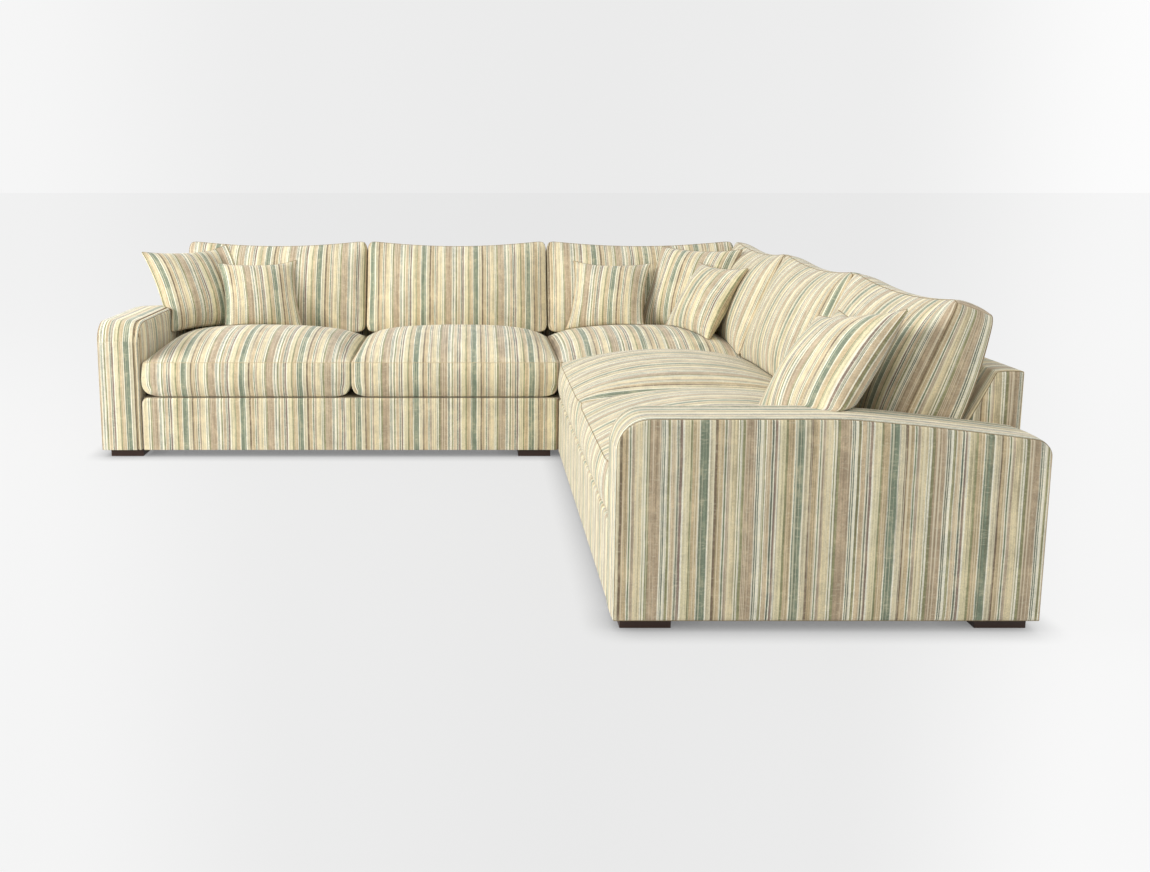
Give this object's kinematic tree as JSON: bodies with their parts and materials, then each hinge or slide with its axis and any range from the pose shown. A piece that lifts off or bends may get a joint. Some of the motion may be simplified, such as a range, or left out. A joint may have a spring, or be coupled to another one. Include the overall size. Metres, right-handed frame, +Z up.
{
  "type": "corner sofa",
  "caption": "L-shaped corner sofa of linked units with low padded arms, loose crowned seat and back cushions, scatter cushions, striped fabric and low block feet.",
  "frame": {"origin": "on the floor under the centre of the sofa's overall box", "axes": "+Z up; the left run stands along +Y and faces -Y; the right run stands along +X and faces -X"},
  "size_m": [3, 3, 0.8495],
  "materials": {
    "striped_fabric": "soft velvet-linen with multicolour stripes",
    "dark_wood": "dark stained, satin",
    "pine": "planed softwood and ply",
    "zinc_steel": "zinc plated",
    "spring_steel": "oiled spring wire",
    "platform_cloth": "plain woven platform cloth over a felt pad",
    "black_cloth": "thin black non-woven cloth"
  },
  "bodies": {
    "frame": {"left_arm_cover": "striped_fabric", "left_arm_pad": "striped_fabric", "left_arm_frame": "pine", "left_arm_bolts": "zinc_steel", "left_base_cover": "striped_fabric", "left_base_frame": "pine", "left_seat_springs": "spring_steel", "left_deck": "platform_cloth", "left_dust_cloth": "black_cloth", "left_feet": "dark_wood", "left_foot_bolts": "zinc_steel", "left_back_cover": "striped_fabric", "left_back_frame": "pine", "right_arm_cover": "striped_fabric", "right_arm_pad": "striped_fabric", "right_arm_frame": "pine", "right_arm_bolts": "zinc_steel", "right_base_cover": "striped_fabric", "right_base_frame": "pine", "right_seat_springs": "spring_steel", "right_deck": "platform_cloth", "right_dust_cloth": "black_cloth", "right_feet": "dark_wood", "right_foot_bolts": "zinc_steel", "right_back_cover": "striped_fabric", "right_back_frame": "pine", "corner_base_cover": "striped_fabric", "corner_base_frame": "pine", "corner_seat_springs": "spring_steel", "corner_deck": "platform_cloth", "corner_dust_cloth": "black_cloth", "corner_feet": "dark_wood", "corner_foot_bolts": "zinc_steel", "corner_rear_back_cover": "striped_fabric", "corner_side_back_cover": "striped_fabric", "corner_back_frame": "pine", "left_link_plates": "zinc_steel", "left_link_screws": "zinc_steel", "right_link_plates": "zinc_steel", "right_link_screws": "zinc_steel"},
    "left_outer_seat_cushion": {"left_outer_seat_cushion": "striped_fabric"},
    "left_inner_seat_cushion": {"left_inner_seat_cushion": "striped_fabric"},
    "corner_seat_cushion": {"corner_seat_cushion": "striped_fabric"},
    "right_inner_seat_cushion": {"right_inner_seat_cushion": "striped_fabric"},
    "right_outer_seat_cushion": {"right_outer_seat_cushion": "striped_fabric"},
    "left_outer_back_cushion": {"left_outer_back_cushion": "striped_fabric"},
    "left_inner_back_cushion": {"left_inner_back_cushion": "striped_fabric"},
    "corner_rear_back_cushion": {"corner_rear_back_cushion": "striped_fabric"},
    "corner_side_back_cushion": {"corner_side_back_cushion": "striped_fabric"},
    "right_inner_back_cushion": {"right_inner_back_cushion": "striped_fabric"},
    "right_outer_back_cushion": {"right_outer_back_cushion": "striped_fabric"},
    "left_large_scatter": {"left_large_scatter": "striped_fabric"},
    "left_small_scatter": {"left_small_scatter": "striped_fabric"},
    "corner_large_scatter": {"corner_large_scatter": "striped_fabric"},
    "corner_left_small_scatter": {"corner_left_small_scatter": "striped_fabric"},
    "corner_right_small_scatter": {"corner_right_small_scatter": "striped_fabric"},
    "right_small_scatter": {"right_small_scatter": "striped_fabric"},
    "right_large_scatter": {"right_large_scatter": "striped_fabric"}
  },
  "joints": [
    {"name": "left_outer_seat_lift", "type": "slide", "parent": "frame", "child": "left_outer_seat_cushion", "axis": [0, 0, 1], "range_m": [0, 0.12]},
    {"name": "left_inner_seat_lift", "type": "slide", "parent": "frame", "child": "left_inner_seat_cushion", "axis": [0, 0, 1], "range_m": [0, 0.12]},
    {"name": "corner_seat_lift", "type": "slide", "parent": "frame", "child": "corner_seat_cushion", "axis": [0, 0, 1], "range_m": [0, 0.12]},
    {"name": "right_inner_seat_lift", "type": "slide", "parent": "frame", "child": "right_inner_seat_cushion", "axis": [0, 0, 1], "range_m": [0, 0.12]},
    {"name": "right_outer_seat_lift", "type": "slide", "parent": "frame", "child": "right_outer_seat_cushion", "axis": [0, 0, 1], "range_m": [0, 0.12]},
    {"name": "left_outer_back_lift", "type": "slide", "parent": "left_outer_seat_cushion", "child": "left_outer_back_cushion", "axis": [0, 0, 1], "range_m": [0, 0.2]},
    {"name": "left_inner_back_lift", "type": "slide", "parent": "left_inner_seat_cushion", "child": "left_inner_back_cushion", "axis": [0, 0, 1], "range_m": [0, 0.2]},
    {"name": "corner_rear_back_lift", "type": "slide", "parent": "corner_seat_cushion", "child": "corner_rear_back_cushion", "axis": [0, 0, 1], "range_m": [0, 0.2]},
    {"name": "corner_side_back_lift", "type": "slide", "parent": "corner_rear_back_cushion", "child": "corner_side_back_cushion", "axis": [0, 0, 1], "range_m": [0, 0.2]},
    {"name": "right_inner_back_lift", "type": "slide", "parent": "right_inner_seat_cushion", "child": "right_inner_back_cushion", "axis": [0, 0, 1], "range_m": [0, 0.2]},
    {"name": "right_outer_back_lift", "type": "slide", "parent": "right_outer_seat_cushion", "child": "right_outer_back_cushion", "axis": [0, 0, 1], "range_m": [0, 0.2]},
    {"name": "left_large_scatter_lift", "type": "slide", "parent": "left_outer_back_cushion", "child": "left_large_scatter", "axis": [0, 0, 1], "range_m": [0, 0.25]},
    {"name": "left_small_scatter_lift", "type": "slide", "parent": "left_large_scatter", "child": "left_small_scatter", "axis": [0, 0, 1], "range_m": [0, 0.25]},
    {"name": "corner_large_scatter_lift", "type": "slide", "parent": "corner_side_back_cushion", "child": "corner_large_scatter", "axis": [0, 0, 1], "range_m": [0, 0.25]},
    {"name": "corner_left_small_scatter_lift", "type": "slide", "parent": "corner_large_scatter", "child": "corner_left_small_scatter", "axis": [0, 0, 1], "range_m": [0, 0.25]},
    {"name": "corner_right_small_scatter_lift", "type": "slide", "parent": "corner_large_scatter", "child": "corner_right_small_scatter", "axis": [0, 0, 1], "range_m": [0, 0.25]},
    {"name": "right_small_scatter_lift", "type": "slide", "parent": "right_outer_back_cushion", "child": "right_small_scatter", "axis": [0, 0, 1], "range_m": [0, 0.25]},
    {"name": "right_large_scatter_lift", "type": "slide", "parent": "right_small_scatter", "child": "right_large_scatter", "axis": [0, 0, 1], "range_m": [0, 0.25]}
  ]
}
